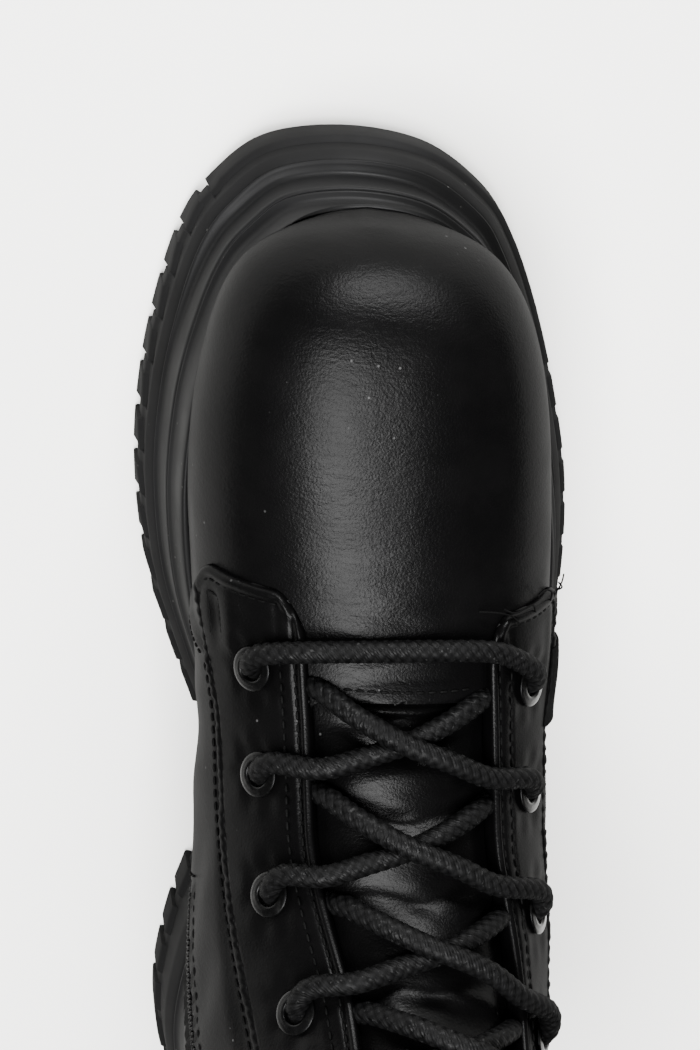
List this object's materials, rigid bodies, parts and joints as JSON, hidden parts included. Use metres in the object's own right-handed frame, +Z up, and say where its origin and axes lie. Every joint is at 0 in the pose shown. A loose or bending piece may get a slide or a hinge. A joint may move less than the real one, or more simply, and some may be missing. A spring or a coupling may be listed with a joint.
{
  "type": "platform boot",
  "caption": "Black leather lace-up platform ankle boot with a chunky tiered rubber sole, derby facings, padded tongue and an inside zip.",
  "frame": {"origin": "under the middle of the sole, on the ground", "axes": "+X to the medial (big toe) side, the toe points along -Y, +Z up"},
  "size_m": [0.1131, 0.2875, 0.2424],
  "materials": {
    "outsole_rubber": "matt",
    "midsole_rubber": "satin",
    "leather": "satin",
    "lining": "matt",
    "lace": "waxed",
    "black_metal": "satin black",
    "tape": "matt"
  },
  "bodies": {
    "boot": {"outsole": "outsole_rubber", "midsole": "midsole_rubber", "welt": "midsole_rubber", "insole": "lining", "upper": "leather", "tongue": "leather", "facing_medial": "leather", "facing_lateral": "leather", "eyelet_medial_1": "black_metal", "eyelet_medial_2": "black_metal", "eyelet_medial_3": "black_metal", "eyelet_medial_4": "black_metal", "eyelet_medial_5": "black_metal", "eyelet_medial_6": "black_metal", "eyelet_medial_7": "black_metal", "eyelet_lateral_1": "black_metal", "eyelet_lateral_2": "black_metal", "eyelet_lateral_3": "black_metal", "eyelet_lateral_4": "black_metal", "eyelet_lateral_5": "black_metal", "eyelet_lateral_6": "black_metal", "eyelet_lateral_7": "black_metal", "lace_bar_1": "lace", "lace_cross_1": "lace", "lace_cross_2": "lace", "lace_cross_3": "lace", "lace_cross_4": "lace", "lace_cross_5": "lace", "lace_cross_6": "lace", "side_tab": "tape", "zip_chain": "tape", "zip_slider": "black_metal"},
    "pull_tab": {"zip_pull": "black_metal"}
  },
  "joints": [
    {"name": "zip_pull_hinge", "type": "hinge", "parent": "boot", "child": "pull_tab", "pos_m": [0.04803, 0.09426, 0.19566], "axis": [0.0921, -0.9807, 0.1723], "range_deg": [0, 150]}
  ]
}
